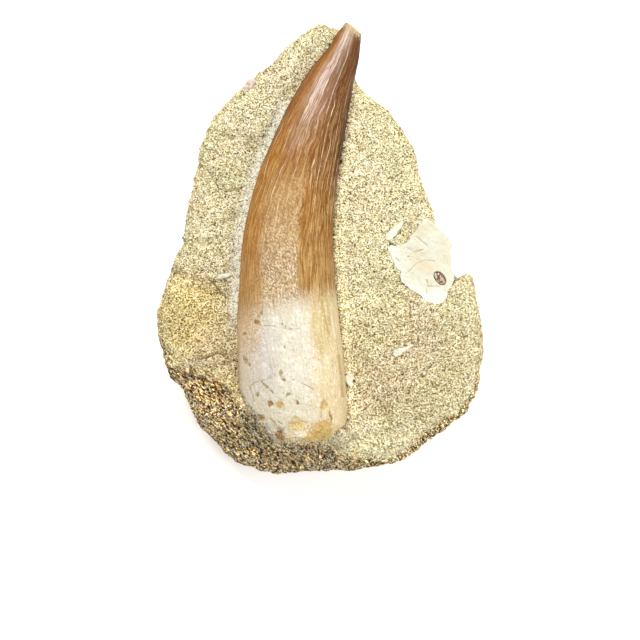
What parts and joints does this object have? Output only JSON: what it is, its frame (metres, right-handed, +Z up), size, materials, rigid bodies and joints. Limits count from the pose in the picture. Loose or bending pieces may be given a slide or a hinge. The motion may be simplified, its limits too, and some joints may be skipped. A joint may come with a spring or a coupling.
{
  "type": "fossil marine reptile tooth in rock",
  "caption": "Long curved fossil tooth with a ridged brown crown and a pale root, half sunk in a lump of sandy phosphate rock that also holds a plate of bone.",
  "frame": {"origin": "middle of the whole piece seen from above, on the surface that its flat back lies on", "axes": "+Z up, out of the face that shows the tooth; +Y from the root to the tip of the tooth; +X towards the side with the bone plate"},
  "size_m": [0.0494, 0.0686, 0.0217],
  "materials": {
    "phosphate_rock": "dull, made of fine sand grains",
    "fossil_tooth": "glossy ridged enamel on the crown, dull chalky root",
    "pale_bone": "dull and finely cracked",
    "brown_phosphate": "polished",
    "pink_shell": "dull"
  },
  "bodies": {
    "root": {"matrix_rock": "phosphate_rock", "tooth": "fossil_tooth", "bone_plate": "pale_bone", "brown_nodule": "brown_phosphate", "upper_bone_sliver": "pale_bone", "lower_bone_sliver": "pale_bone", "bone_chip_beside_root": "pale_bone", "bone_splinter_beside_crown": "pale_bone", "flake_on_left_edge": "pink_shell"}
  },
  "joints": []
}
